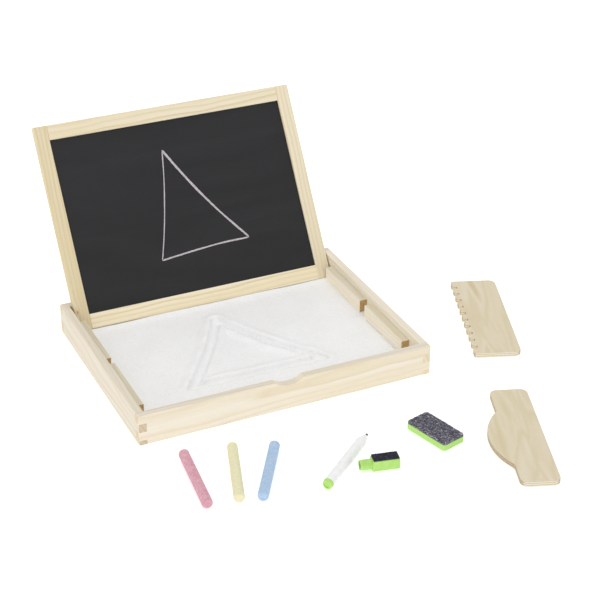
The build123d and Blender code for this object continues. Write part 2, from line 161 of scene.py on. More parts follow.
board_middle, board_across, board_up, board_out = lie_of("blackboard_sheet")
board_across = X.copy()
board_up = board_up if board_up.z > 0 else -board_up
board_out = board_across.cross(board_up)
lean = math.degrees(math.atan2(board_up.y, board_up.z))
print(f"the board leans back {lean:.1f} degrees")

# %% [markdown]
# ## Pine
# The tray, its battens and the board's frame are pine, planed and sanded and left bare. A tree adds
# a ring each year: pale wood in spring, a thin darker line at the end of summer. A plank is a slice
# through those rings, so its face shows long lines and its end shows arcs. The honest way to paint
# that is to place the middle of the tree somewhere outside the plank and colour every point by its
# distance from it. Then the faces, edges and ends agree with each other, as they do in a real
# plank, and every plank gets a heart of its own so that no two look alike.
#
# The rings of quick-grown pine are 3 to 5 mm apart. The fibres are really 0.03 mm thick, far too
# fine to see, so they are drawn about ten times as coarse.

# %% The pine recipe
# spring wood, summer wood, cloudy stretches, end grain and its strength, and a tint of painted
# shade multiplied over every face that looks up, since those faces get less light than the sides
TRAY_PINE = ("#F1E9D9", "#D9C49C", "#EBDEC2", "#DCC9A4", 0.5, "#F3F3F5")
# painted light: the right wall is paler so that its inner face, in shade inside the tray, looks lit
PAINTED_LIGHT_WALL_PINE = ("#FCF5E6", "#E9D8B4", "#F7EBD1", "#DCC9A4", 0.5, "#F3F3F5")
GREY_PINE = ("#E6DECF", "#CFBC99", "#E2D6BF", "#D6C4A2", 0.5, "#FFFFFF")
FRAME_PINE = ("#EEE3C9", "#CFB787", "#E7D8B2", "#E0D0AE", 0.5, "#FFFFFF")
# painted light: the bottom rail is paler so that it looks lit where it gets less light near the sand
PAINTED_LIGHT_RAIL_PINE = ("#FAEFD3", "#CFB47F", "#F3E3BB", "#E0D0AE", 0.5, "#FFFFFF")
AMBER_PINE = ("#E4D6B4", "#C8AE7A", "#DDCB9E", "#DAC8A2", 0.5, "#FFFFFF")
# painted light and shade: pale battens so their sides in the tray look lit; their dark ends are partly
# end grain, partly painted shade of narrow gaps
PAINTED_LIGHT_AND_SHADE_BATTEN_PINE = ("#FFF8EA", "#ECDBB8", "#FAEED2", "#C4AC82", 1.0, "#DEDCD3")
FIBRE_PER_MM = 2.4           # real fibres are finer; this is as fine as the render can show
RING_SPACING = 4.2           # mm


def along_the_grain(tree, middle, axes):
    """Millimetres from a piece's middle along its own axes, as three numbers and as one vector."""
    place = add(tree, "TexCoord")
    offset = add(tree, "VectorMath", {0: place.outputs["Object"], 1: middle}, operation="SUBTRACT")
    scaled = add(tree, "VectorMath", {0: offset, "Scale": 1 / MM}, operation="SCALE")
    run = [
        add(tree, "VectorMath", {0: scaled, 1: axis}, operation="DOT_PRODUCT").outputs["Value"]
        for axis in axes
    ]
    return place, run, add(tree, "CombineXYZ", {0: run[0], 1: run[1], 2: run[2]})


def pine(name, tones, along, across, middle, heart, drift=(0.0, 0.0), seed=0, knot=None):
    """Bare sanded pine. heart is the middle of the tree, in mm across and through from the plank's
    own middle, and drift is how far it wanders over each mm of length."""
    spring_wood, summer_wood, cloudy, end_tint, end_strength, top_shade_tint = tones
    material, tree, shader = new_finish(name, roughness=0.6)
    place, run, grain = along_the_grain(tree, middle, (along, across, along.cross(across)))

    # distance from the heart, with the slow bends of a living trunk
    slow = add(tree, "VectorMath", {0: grain, 1: (0.008, 0.03, 0.03)}, operation="MULTIPLY")
    moved = add(tree, "VectorMath", {0: slow, 1: (seed, seed * 0.37, 0)}, operation="ADD")
    bend = add(tree, "TexNoise", {"Vector": moved, "Scale": 1.0, "Detail": 2.0})
    sides = []
    for axis, start, slope in ((1, heart[0], drift[0]), (2, heart[1], drift[1])):
        line = add(tree, "Math", {0: run[0], 1: slope, 2: start}, operation="MULTIPLY_ADD")
        sides.append(add(tree, "Math", {0: run[axis], 1: line}, operation="SUBTRACT"))
    spoke = add(tree, "CombineXYZ", {0: 0.0, 1: sides[0], 2: sides[1]})
    radius = add(tree, "VectorMath", {0: spoke}, operation="LENGTH").outputs["Value"]
    bent = add(tree, "Math", {0: bend, 1: 9.0, 2: radius}, operation="MULTIPLY_ADD")
    if knot:
        # round a knot the rings swing aside; its own centre is added to the colour below
        gap = add(tree, "VectorMath", {0: grain, 1: knot}, operation="SUBTRACT")
        gap = add(tree, "VectorMath", {0: gap, 1: (0.55, 1.0, 0.0)}, operation="MULTIPLY")
        away = add(tree, "VectorMath", {0: gap}, operation="LENGTH").outputs["Value"]
        push = add(tree, "MapRange", {0: away, 1: 0.0, 2: 9.0, 3: 3.0, 4: 0.0},
                   interpolation_type="SMOOTHSTEP")
        bent = add(tree, "Math", {0: bent, 1: push}, operation="ADD")
    count = add(tree, "Math", {0: bent, 1: RING_SPACING}, operation="DIVIDE")
    year = add(tree, "Math", {0: count}, operation="FLOOR")
    phase = add(tree, "Math", {0: count}, operation="FRACT")
    season = add(tree, "ValToRGB", {0: phase}, stops=[
        (0.0, 0.3), (0.14, 0.0), (0.5, 0.1), (0.78, 0.65), (0.91, 1.0), (1.0, 0.3)])
    luck = add(tree, "TexWhiteNoise", {"W": year}, noise_dimensions="1D")
    facing = squareness(tree, place, along)
    at_end = add(tree, "MapRange", {0: facing, 1: 0.6, 2: 0.95})
    depth = add(tree, "MapRange", {0: luck, 3: 0.12, 4: 0.7})
    depth = add(tree, "Math", {0: at_end, 1: 0.5, 2: depth}, operation="MULTIPLY_ADD")
    summer = add(tree, "Math", {0: season, 1: depth}, operation="MULTIPLY")
    colour = add(tree, "MixRGB", {0: summer, 1: linear(spring_wood), 2: linear(summer_wood)})

    # broad warm and cool stretches, then the fine fibres and short resin ducts
    cloud = add(tree, "VectorMath", {0: moved, 1: (0.8, 3.2, 3.2)}, operation="MULTIPLY")
    cloud = add(tree, "TexNoise", {"Vector": cloud, "Scale": 1.0, "Detail": 3.0})
    warm = add(tree, "MapRange", {0: cloud, 1: 0.38, 2: 0.62, 3: 0.0, 4: 0.6})
    colour = add(tree, "MixRGB", {0: warm, 1: colour, 2: linear(cloudy)})
    thread = add(tree, "VectorMath", {0: grain, 1: (0.035, FIBRE_PER_MM, FIBRE_PER_MM)},
                 operation="MULTIPLY")
    fibre = add(tree, "TexNoise", {"Vector": thread, "Scale": 1.0, "Detail": 3.0})
    colour = shaded(tree, colour, fibre, 0.3, 0.7, 0.95, 1.02)
    duct = add(tree, "VectorMath", {0: grain, 1: (0.09, 1.1, 1.1)}, operation="MULTIPLY")
    duct = add(tree, "TexVoronoi", {"Vector": duct, "Scale": 1.0})
    duct = add(tree, "MapRange", {0: duct, 1: 0.08, 2: 0.2, 3: 0.25, 4: 0.0})
    colour = add(tree, "MixRGB", {0: duct, 1: colour, 2: linear("#C9AC7C")})

    # end grain drinks more and looks darker
    end = add(tree, "Math", {0: at_end, 1: end_strength}, operation="MULTIPLY")
    colour = add(tree, "MixRGB", {0: end, 1: colour, 2: linear(end_tint)}, blend_type="MULTIPLY")
    # painted shade: faces that look up are made darker by the last tint of the tones
    upward = add(tree, "SeparateXYZ", {0: place.outputs["Normal"]}).outputs["Z"]
    painted_top_shade = add(tree, "MapRange", {0: upward, 1: 0.9, 2: 0.98})
    colour = add(tree, "MixRGB", {0: painted_top_shade, 1: colour, 2: linear(top_shade_tint)},
                 blend_type="MULTIPLY")
    if knot:
        core = add(tree, "MapRange", {0: away, 1: 0.5, 2: 1.5, 3: 0.6, 4: 0.0})
        colour = add(tree, "MixRGB", {0: core, 1: colour, 2: linear("#8A6440")})
        halo = add(tree, "MapRange", {0: away, 1: 1.2, 2: 4.0, 3: 0.2, 4: 0.0})
        colour = add(tree, "MixRGB", {0: halo, 1: colour, 2: linear("#CFAF7E")})

    # sanding leaves the hard summer lines a little proud and a little smoother
    rough = add(tree, "MapRange", {0: summer, 3: 0.66, 4: 0.52})
    height = add(tree, "Math", {0: summer, 1: 0.5, 2: fibre}, operation="MULTIPLY_ADD")
    bump = add(tree, "Bump", {"Strength": 0.35, "Distance": 0.06 * MM, "Height": height})
    connect(tree, shader, Base_Color=colour, Roughness=rough, Normal=bump)
    return material


# %% [markdown]
# ## Cutting the planks
# Each plank is given its grain direction, the direction across its broad face and a heart. The tray
# boards run lengthwise, the frame's stiles run up the leaning board and its rails run across, so
# that end grain shows exactly where a joiner would leave it: in the fingers of the corners and at
# the tops of the stiles. No two planks match: the left wall is greyer and the board's frame is
# yellower. The right wall and the battens are paler and the frame's bottom rail is the lightest of
# the frame, painted light where they sit in shade. The sawn ends of the battens are a much darker
# brown, partly their own end grain and partly painted shade of the narrow gaps they face.

# %% Dress the pine pieces
PLANKS = {
    # node: (tones, along, across, heart in mm, drift, knot)
    "front_rail": (TRAY_PINE, X, Z, (9, -21), (0.035, 0.010), None),
    "rear_rail": (TRAY_PINE, X, Z, (-14, 26), (0.012, -0.020), None),
    "left_wall": (GREY_PINE, Y, Z, (16, 30), (-0.030, 0.020), None),
    "right_wall": (PAINTED_LIGHT_WALL_PINE, Y, Z, (-10, -34), (0.024, 0.015), None),
    "left_front_batten": (PAINTED_LIGHT_AND_SHADE_BATTEN_PINE, Y, Z, (20, 17), (0.02, 0.03), None),
    "left_rear_batten": (PAINTED_LIGHT_AND_SHADE_BATTEN_PINE, Y, Z, (-16, 23), (0.03, -0.02), None),
    "right_front_batten": (PAINTED_LIGHT_AND_SHADE_BATTEN_PINE, Y, Z, (24, -15), (-0.03, 0.02), None),
    "right_rear_batten": (PAINTED_LIGHT_AND_SHADE_BATTEN_PINE, Y, Z, (-19, -26), (0.02, 0.04), None),
    "board_left_stile": (AMBER_PINE, board_up, X, (33, -11), (0.022, 0.010), (-86, -4.2, 3.5)),
    "board_right_stile": (FRAME_PINE, board_up, X, (-30, -12), (0.018, -0.010), None),
    "board_bottom_rail": (PAINTED_LIGHT_RAIL_PINE, X, board_up, (24, -9), (0.007, 0.004), None),
    "board_top_rail": (FRAME_PINE, X, board_up, (-19, -15), (0.016, 0.008), None),
}
for number, (node_name, plank) in enumerate(PLANKS.items()):
    tones, along, across, heart, drift, knot = plank
    middle = lie_of(node_name)[0]
    wear(node_name, pine("pine_sanded_" + node_name, tones, along, across, middle,
                         heart, drift, seed=3.1 * number, knot=knot))
print(len(PLANKS), "planks, rings", RING_SPACING, "mm apart")

# %% [markdown]
# ## Birch plywood
# The comb and the scraper are cut from 5 mm birch plywood. Its sheets are peeled off a turning log,
# which gives the face a soft, wide, cloudy figure instead of ring lines. The edge shows the layers:
# every second one is turned a quarter, so it shows its end grain and looks darker, and between them
# runs a thin brown line of glue. Height above the table picks the layer, so the stripes follow every
# tooth and curve of the cut edge by themselves. The cutter has scorched the teeth and the long
# curves a little, while the short ends are clean.

# %% The plywood recipe
PLY_LAYERS = 5


def birch_plywood(name, node_name, figure_seed):
    material, tree, shader = new_finish(name, roughness=0.55)
    middle, along, across, _ = lie_of(node_name)
    low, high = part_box(node_name)
    layer = (high.z - low.z) / PLY_LAYERS / MM
    place, run, grain = along_the_grain(tree, middle, (along, across, Z))

    # peeled face: broad bands that wander along the sheet, and fine short flecks
    slow = add(tree, "VectorMath", {0: grain, 1: (0.007, 0.055, 0.0)}, operation="MULTIPLY")
    slow = add(tree, "VectorMath", {0: slow, 1: (figure_seed, 0, 0)}, operation="ADD")
    band = add(tree, "TexNoise", {"Vector": slow, "Scale": 1.0, "Detail": 1.6, "Distortion": 0.6})
    face = add(tree, "ValToRGB", {0: band}, stops=[
        (0.28, "#D6C7A4"), (0.42, "#E0D4B8"), (0.5, "#D9CBAA"), (0.62, "#E2D7BE"), (0.75, "#D2C29C")])
    fleck = add(tree, "VectorMath", {0: grain, 1: (0.22, 1.5, 1.5)}, operation="MULTIPLY")
    fleck = add(tree, "TexNoise", {"Vector": fleck, "Scale": 1.0, "Detail": 4.0, "Roughness": 0.6})
    face = shaded(tree, face, fleck, 0.32, 0.68, 0.97, 1.02)

    # the layers, counted up from the underside, with glue lines that waver a little
    lift = add(tree, "Math", {0: run[2], 1: PLY_LAYERS * layer / 2}, operation="ADD")
    waver = add(tree, "TexNoise", {"Vector": grain, "Scale": 0.12, "Detail": 1.0})
    waver = add(tree, "MapRange", {0: waver, 3: -0.16, 4: 0.16})
    lift = add(tree, "Math", {0: lift, 1: waver}, operation="ADD")
    count = add(tree, "Math", {0: lift, 1: layer}, operation="DIVIDE")
    turned = add(tree, "Math", {0: count, 1: 2.0}, operation="MODULO")
    turned = add(tree, "Math", {0: turned, 1: 1.0}, operation="GREATER_THAN")
    edge = add(tree, "MixRGB", {0: turned, 1: linear("#F0E9D8"), 2: linear("#D6C5A2")})
    within = add(tree, "Math", {0: count, 1: 1.0}, operation="PINGPONG")
    glue = add(tree, "MapRange", {0: within, 1: 0.04, 2: 0.14, 3: 0.5, 4: 0.0})
    edge = add(tree, "MixRGB", {0: glue, 1: edge, 2: linear("#A5875C")})
    pores = add(tree, "TexNoise", {"Vector": grain, "Scale": 2.2, "Detail": 3.0})
    edge = shaded(tree, edge, pores, 0.35, 0.7, 0.86, 1.05)
    endways = squareness(tree, place, along)
    scorched = add(tree, "MapRange", {0: endways, 1: 0.55, 2: 0.9, 3: 1.0, 4: 0.0})
    edge = add(tree, "MixRGB", {0: scorched, 1: edge, 2: linear("#D3C9B8")},
               blend_type="MULTIPLY")

    is_face = add(tree, "MapRange", {0: squareness(tree, place, Z), 1: 0.7, 2: 0.95})
    colour = add(tree, "MixRGB", {0: is_face, 1: edge, 2: face})
    height = add(tree, "Math", {0: fleck, 1: turned}, operation="SUBTRACT")
    bump = add(tree, "Bump", {"Strength": 0.3, "Distance": 0.05 * MM, "Height": height})
    connect(tree, shader, Base_Color=colour, Normal=bump)
    return material


wear("sand_comb", birch_plywood("birch_plywood_comb", "sand_comb", 2.0))
wear("sand_scraper", birch_plywood("birch_plywood_scraper", "sand_scraper", 7.3))
print("plywood in", PLY_LAYERS, "layers")

# %% [markdown]
# ## The sheets of the board and the floor of the tray
# The board's black face is slate paint sprayed on hardboard: quite matt, with a fine tooth that
# bites the chalk, and never evenly black once a cloth has wiped chalk dust over it. The white face
# is a hard melamine film, glossy, with the ghost of old marker strokes. The floor of the tray is
# hardboard as well, smooth brown and slightly mottled, and shows only from below.

# %% Slate paint, white film and hardboard
def slate_paint():
    material, tree, shader = new_finish("slate_paint_wiped", roughness=0.8, Specular_IOR_Level=0.3)
    scaled = in_mm(tree)
    wipe = add(tree, "Mapping", {0: scaled, "Rotation": (0, 0, math.radians(24)),
                                 "Scale": (0.006, 0.03, 0.03)})
    wipe = add(tree, "TexNoise", {"Vector": wipe, "Scale": 1.0, "Detail": 5.0, "Distortion": 1.2})
    tooth = add(tree, "TexNoise", {"Vector": scaled, "Scale": 1.8, "Detail": 3.0})
    dust = add(tree, "Math", {0: wipe, 1: tooth}, operation="MULTIPLY")
    dust = add(tree, "MapRange", {0: dust, 1: 0.16, 2: 0.42, 3: 0.0, 4: 0.016})
    colour = add(tree, "MixRGB", {0: dust, 1: linear("#28282A"), 2: linear("#B9B9BC")})
    bump = add(tree, "Bump", {"Strength": 0.5, "Distance": 0.05 * MM, "Height": tooth})
    connect(tree, shader, Base_Color=colour, Normal=bump)
    return material


def melamine_film():
    material, tree, shader = new_finish("melamine_film_white", roughness=0.2)
    scaled = in_mm(tree)
    smear = add(tree, "Mapping", {0: scaled, "Rotation": (0, 0, math.radians(-18)),
                                  "Scale": (0.01, 0.05, 0.05)})
    smear = add(tree, "TexNoise", {"Vector": smear, "Scale": 1.0, "Detail": 4.0})
    ghost = add(tree, "MapRange", {0: smear, 1: 0.5, 2: 0.75, 3: 0.0, 4: 0.35})
    colour = add(tree, "MixRGB", {0: ghost, 1: linear("#F4F5F4"), 2: linear("#E3E5E8")})
    rough = add(tree, "MapRange", {0: smear, 1: 0.3, 2: 0.7, 3: 0.16, 4: 0.3})
    connect(tree, shader, Base_Color=colour, Roughness=rough)
    return material


def hardboard():
    material, tree, shader = new_finish("hardboard_pressed", roughness=0.5)
    scaled = in_mm(tree)
    pulp = add(tree, "TexNoise", {"Vector": scaled, "Scale": 0.5, "Detail": 6.0, "Roughness": 0.7})
    colour = add(tree, "ValToRGB", {0: pulp}, stops=[
        (0.3, "#8C6A48"), (0.5, "#A17D57"), (0.7, "#B48F66")])
    bump = add(tree, "Bump", {"Strength": 0.3, "Distance": 0.1 * MM, "Height": pulp})
    connect(tree, shader, Base_Color=colour, Normal=bump)
    return material


wear("blackboard_sheet", slate_paint())
wear("whiteboard_sheet", melamine_film())
wear("base_panel", hardboard())

# %% [markdown]
# ## A piece from points and faces
# The next pieces are worked out as lists of points and faces. One function turns them into an
# object, gives it its finish, hangs it on the measured body that carries it and hides the plain node
# it stands for.

# %% Make a piece
def piece(name, points, faces, material, body, stands_for=()):
    """Build a mesh piece in the shared frame; points are in metres."""
    mesh = bpy.data.meshes.new(name)
    mesh.from_pydata([tuple(p) for p in points], [], faces)
    mesh.polygons.foreach_set("use_smooth", [True] * len(mesh.polygons))
    mesh.materials.append(material)
    shell = bmesh.new()
    shell.from_mesh(mesh)
    bmesh.ops.recalc_face_normals(shell, faces=shell.faces)     # every face looks outward
    shell.to_mesh(mesh)
    shell.free()
    mesh.update()
    thing = bpy.data.objects.new(name, mesh)
    bpy.context.scene.collection.objects.link(thing)
    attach(thing, body)
    if stands_for:
        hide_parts(*stands_for)
    print(name, len(points), "points", len(faces), "faces")
    return thing


# %% [markdown]
# ## Sand with a drawing in it
# The tray is filled with fine washed quartz sand. A finger pushed through it leaves a round-bottomed
# furrow and throws up a soft rim on both sides, higher where it turns or stops. Sand can't hold a
# slope steeper than about 34 degrees, so everything in it is rounded. That could be faked with a
# bump, but a furrow casts real shade, so the surface is a fine grid whose heights are added up from
# simple parts: the level, slow swells, the furrows, faint comb lines and single grains.

# %% Heights of the sand
sand_low, sand_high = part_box("sand_bed")
batten_names = [n for n in nodes if n.endswith("_batten")]
levels = sorted({round(v.co.z / MM, 3) for v in nodes["sand_bed"].data.vertices})
SAND_LEVEL = levels[-1]                  # mm, the level of the measured bed
TROUGH_LEVEL = levels[1]                 # under the foot of the board
trough_start = max(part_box(n)[1].y for n in batten_names) / MM
SWELL, UNEVEN = 0.30, 0.06               # mm of slow swells and of small bumps
FINGER_HALF = 4.8                        # mm, half the width of a child's finger furrow
FURROW_DEPTH = 3.4
RIM_HEIGHT, RIM_WIDTH = 2.4, 5.0
RAKE_HEIGHT, RAKE_STEP = 0.03, 5.2       # the comb's faint lines
GRAIN_HEIGHT = 0.012                     # single grains
HEAP_HEIGHT, HEAP_START, HEAP_WIDTH = 2.3, 11, 9.5     # pushed up before the board's foot
SLOPE_WIDTH = 1.2                        # from the heap down into the trough
TROUGH_SPARE, TROUGH_BUMPS = 0.25, 0.1   # what the trough is lower by, and its highest bumps
WALL_HEIGHT, WALL_REACH = 0.5, 4         # sand leaning on the walls
GAP_DEPTH, GAP_WIDTH, GAP_FADE = 1.6, 1.1, 6           # it has shrunk back from one batten
GRID_STEP = 0.9                          # mm between the points of the surface


def bowed_line(start, end, bow, steps=40):
    """A hand-drawn line: a straight one with a little bow and some tremble."""
    start, end = np.array(start, float), np.array(end, float)
    side = np.array((-(end - start)[1], (end - start)[0]))
    side /= np.linalg.norm(side)
    t = np.linspace(0, 1, steps)[:, None]
    shake = np.array([noise.noise((start[0] + 3 * v, end[1], 0.5)) for v in t[:, 0]])[:, None]
    return start + t * (end - start) + side * (bow * np.sin(np.pi * t) + 0.5 * shake)


def triangle_lines(apex, left_foot, right_foot, bows):
    """The three strokes of a plain triangle, in the order a hand draws them."""
    return [
        bowed_line(apex, left_foot, bows[0]),
        bowed_line(apex, right_foot, bows[1]),
        bowed_line(left_foot, right_foot, bows[2]),
    ]


def distance_to(line, px, py):
    """Distance from every point of the grid to a line."""
    best = np.full(px.shape, np.inf)
    for i in range(len(line) - 1):
        a, b = line[i], line[i + 1]
        d = b - a
        t = np.clip(((px - a[0]) * d[0] + (py - a[1]) * d[1]) / (d @ d), 0, 1)
        best = np.minimum(best, np.hypot(px - a[0] - t * d[0], py - a[1] - t * d[1]))
    return best


def ripple(px, py, wavelength, count, rng):
    """A sum of a few slow waves in random directions, from -1 to 1 or so."""
    total = np.zeros(px.shape)
    for _ in range(count):
        angle, phase = rng.uniform(0, math.tau, 2)
        length = wavelength * rng.uniform(0.7, 1.5)
        total += np.sin((px * math.cos(angle) + py * math.sin(angle)) * math.tau / length + phase)
    return total / math.sqrt(count)


# %% Draw in the sand
rng = np.random.default_rng(5)
nx = int((sand_high.x - sand_low.x) / MM / GRID_STEP)
ny = int((sand_high.y - sand_low.y) / MM / GRID_STEP)
xs = np.linspace(sand_low.x / MM, sand_high.x / MM, nx)
ys = np.linspace(sand_low.y / MM, sand_high.y / MM, ny)
px, py = np.meshgrid(xs, ys, indexing="ij")
height = np.full(px.shape, SAND_LEVEL)
height += SWELL * ripple(px, py, 110, 5, rng) + UNEVEN * ripple(px, py, 23, 7, rng)
strokes = triangle_lines((-7, 50), (-76, -60), (60, -62), (3, -3, 2))
furrow = np.zeros(px.shape)
rim = np.zeros(px.shape)
for number, line in enumerate(strokes):
    gap = distance_to(line, px, py)
    uneven = 1 + 0.2 * ripple(px + 40 * number, py, 19, 5, rng)
    half = FINGER_HALF * (1 + 0.08 * ripple(px, py + 30 * number, 40, 3, rng))
    inside = np.clip(1 - (gap / half) ** 2, 0, None)
    furrow = np.maximum(furrow, FURROW_DEPTH * inside**1.2)
    crest = np.exp(-(((gap - half - RIM_WIDTH * 0.7) / RIM_WIDTH) ** 2))
    rim = np.maximum(rim, RIM_HEIGHT * crest * np.clip(uneven, 0.3, 1.8))
carved = furrow > 0.05
height += np.where(carved, -furrow, rim)
raking = np.sin(py * math.tau / RAKE_STEP + 1.5 * ripple(px, py, 90, 3, rng))
height += RAKE_HEIGHT * raking * ~carved
height += rng.normal(0, GRAIN_HEIGHT, px.shape)
height += HEAP_HEIGHT * np.clip((py - (trough_start - HEAP_START)) / HEAP_WIDTH, 0, 1) ** 2
slide = np.clip((py - (trough_start - SLOPE_WIDTH)) / SLOPE_WIDTH, 0, 1)
drop = SAND_LEVEL + HEAP_HEIGHT - TROUGH_LEVEL + TROUGH_SPARE
height -= slide * slide * (3 - 2 * slide) * drop
wall_gap = np.minimum.reduce([px - xs[0], xs[-1] - px, py - ys[0]])
leaning = np.exp(-((wall_gap / WALL_REACH) ** 2))
height += WALL_HEIGHT * leaning * (0.4 + 0.6 * ripple(px, py, 30, 4, rng))
batten_low, batten_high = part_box("right_front_batten")
beside = np.exp(-(((px - batten_low.x / MM) / GAP_WIDTH) ** 2))
beside *= np.clip((py - batten_low.y / MM) / GAP_FADE, 0, 1)
beside *= np.clip((batten_high.y / MM - py) / GAP_FADE, 0, 1)
height -= GAP_DEPTH * beside
in_trough = np.minimum(height, TROUGH_LEVEL + TROUGH_BUMPS)
height = np.where(py > trough_start, in_trough, height)
print(f"sand from {height.min():.1f} to {height.max():.1f} mm above the table")

# %% [markdown]
# ## From heights to a solid bed
# A surface alone would be a sheet with no underside, so the grid gets sides down to the tray's floor
# and a bottom. Squares that lie wholly inside a batten are left out. White quartz is not one colour:
# most grains are clear or milky, a few are grey or honey. Real grains are 0.2 to 0.4 mm across and
# are drawn at 0.7 mm here, just large enough to sparkle.

# %% Quartz sand
def quartz_sand():
    material, tree, shader = new_finish("quartz_sand_washed", roughness=0.75, ior=1.54)
    scaled = in_mm(tree)
    grains = add(tree, "TexVoronoi", {"Vector": scaled, "Scale": 1 / 0.7})
    pick = add(tree, "SeparateColor", {0: grains.outputs["Color"]})
    colour = add(tree, "ValToRGB", {0: pick.outputs[0]}, stops=[
        (0.0, "#E6E5E3"), (0.06, "#F2F2F2"), (0.5, "#F5F5F5"), (0.95, "#F8F8F8"), (1.0, "#F0ECE4")])
    cloud = add(tree, "TexNoise", {"Vector": scaled, "Scale": 0.03, "Detail": 3.0})
    colour = shaded(tree, colour, cloud, 0.3, 0.7, 0.975, 1.01)
    glint = add(tree, "MapRange", {0: pick.outputs[1], 1: 0.9, 2: 1.0, 3: 0.8, 4: 0.3})
    bump = add(tree, "Bump", {"Strength": 0.15, "Distance": 0.2 * MM,
                              "Height": grains.outputs["Distance"]}, invert=True)
    connect(tree, shader, Base_Color=colour, Roughness=glint, Normal=bump)
    return material


# %% Build the bed
centre_x = (px[:-1, :-1] + px[1:, 1:]) / 2
centre_y = (py[:-1, :-1] + py[1:, 1:]) / 2
keep = np.ones(centre_x.shape, bool)
for name in batten_names:
    low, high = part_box(name)
    if low.x < 0:
        over_x = centre_x < high.x / MM - GRID_STEP
    else:
        over_x = centre_x > low.x / MM + GRID_STEP
    over_y = (centre_y > low.y / MM + GRID_STEP) & (centre_y < high.y / MM - GRID_STEP)
    keep &= ~(over_x & over_y)
index = np.arange(nx * ny).reshape(nx, ny)
corners = [index[:-1, :-1], index[1:, :-1], index[1:, 1:], index[:-1, 1:]]
quads = np.stack([c[keep] for c in corners], axis=1)
used = np.unique(quads)
renumber = np.full(nx * ny, -1)
renumber[used] = np.arange(len(used))
quads = renumber[quads]
top = np.stack([px.ravel(), py.ravel(), height.ravel()], axis=1)[used] * MM

sand = bmesh.new()
for point in top:
    sand.verts.new(point)
sand.verts.ensure_lookup_table()
for quad in quads:
    sand.faces.new([sand.verts[i] for i in quad])
outline = [e for e in sand.edges if e.is_boundary]
pulled = bmesh.ops.extrude_edge_only(sand, edges=outline)["geom"]
lower = [g for g in pulled if isinstance(g, bmesh.types.BMVert)]
for vert in lower:
    vert.co.z = sand_low.z
rim_edges = [e for e in sand.edges if e.is_boundary]
bmesh.ops.contextual_create(sand, geom=rim_edges)
points = [v.co.copy() for v in sand.verts]
sand.verts.index_update()
faces = [[v.index for v in f.verts] for f in sand.faces]
sand.free()
piece("sand_drawn", points, faces, quartz_sand(), "tray", ["sand_bed"])

# %% [markdown]
# ## Chalk on the board
# The same triangle stands on the blackboard in chalk. Chalk leaves its powder only on the high
# points of the slate paint, so a stroke is dense in its middle, ragged at its edges and thin where
# the hand went light. Each stroke is a low ridge of powder with an uneven outline, sunk slightly
# into the paint so that no gap can show, and its finish lets the dark board through in specks.

# %% Chalk powder
def chalk_powder(name, bright):
    material, tree, shader = new_finish(name, roughness=0.95)
    scaled = in_mm(tree)
    speck = add(tree, "TexNoise", {"Vector": scaled, "Scale": 1.6, "Detail": 4.0, "Roughness": 0.7})
    cover = add(tree, "MapRange", {0: speck, 1: 0.36, 2: 0.56})
    colour = add(tree, "MixRGB", {0: cover, 1: linear("#77767A"), 2: linear(bright)})
    bump = add(tree, "Bump", {"Strength": 0.6, "Distance": 0.08 * MM, "Height": speck})
    connect(tree, shader, Base_Color=colour, Normal=bump)
    return material


sheet_points = np.array([v.co for v in nodes["blackboard_sheet"].data.vertices])
board_face = max(sheet_points @ np.array(board_out))


def on_board(u, v, lift):
    """A point on the black face: u and v in mm from its middle, lift in mm off it."""
    flat = board_across * (u * MM) + board_up * (v * MM)
    face = board_out * (board_face - board_middle.dot(board_out) + lift * MM)
    return board_middle + flat + face


def chalk_stroke(name, line, width, material, seed):
    """A ridge of powder along a line, with closed ends and underside."""
    span = []
    ridge = [(-1.0, -0.05), (-0.7, 0.07), (0.0, 0.12), (0.7, 0.07), (1.0, -0.05)]
    length = np.concatenate([[0], np.cumsum(np.linalg.norm(np.diff(line, axis=0), axis=1))])
    steps = int(length[-1] / 0.5)
    for i in range(steps + 1):
        s = length[-1] * i / steps
        centre = Vector([np.interp(s, length, line[:, k]) for k in (0, 1)])
        ahead = Vector([np.interp(s + 1, length, line[:, k]) for k in (0, 1)])
        back = Vector([np.interp(s - 1, length, line[:, k]) for k in (0, 1)])
        side = (ahead - back).normalized().orthogonal()
        taper = min(1.0, 0.25 + s / 3, 0.25 + (length[-1] - s) / 3)
        press = 1 + 0.3 * noise.noise((s * 0.05, seed, 0))
        for place_across, lift in ridge:
            ragged = 1 + 0.45 * noise.noise((s * 1.1, seed + 5 * place_across, 1)) * abs(place_across)
            shift = side * (place_across * width / 2 * taper * press * ragged)
            rough = 0.04 * noise.noise((s * 2, place_across * 3, seed)) * (lift > 0)
            span.append(on_board(centre.x + shift.x, centre.y + shift.y, lift + rough))
    row = len(ridge)
    faces = []
    for i in range(steps):
        for j in range(row):
            a, b = i * row + j, i * row + (j + 1) % row
            faces.append((a, b, b + row, a + row))
    faces.append(tuple(range(row))[::-1])
    faces.append(tuple(steps * row + j for j in range(row)))
    piece(name, span, faces, material, "board")


powder = chalk_powder("chalk_powder_on_slate", "#D9D0D4")
legs = triangle_lines((-12, 60), (-38, -52), (60, -46), (2.5, -3, 1.5))
for number, (line, width) in enumerate(zip(legs, (1.3, 2.5, 1.9))):
    chalk_stroke(f"chalk_line_{number + 1}", line, width, powder, seed=4.7 * number + 1)

# %% [markdown]
# ## Chalk sticks
# School chalk is plaster cast in a mould: a straight stick with a small chamfer at each end, full of
# pinholes from air in the mix, and covered in its own dust. A bare cylinder would look like plastic,
# so each stick is turned from rings of points whose radius is nibbled by noise and by a few dozen
# pits, and it is never thicker than the stick it stands for.

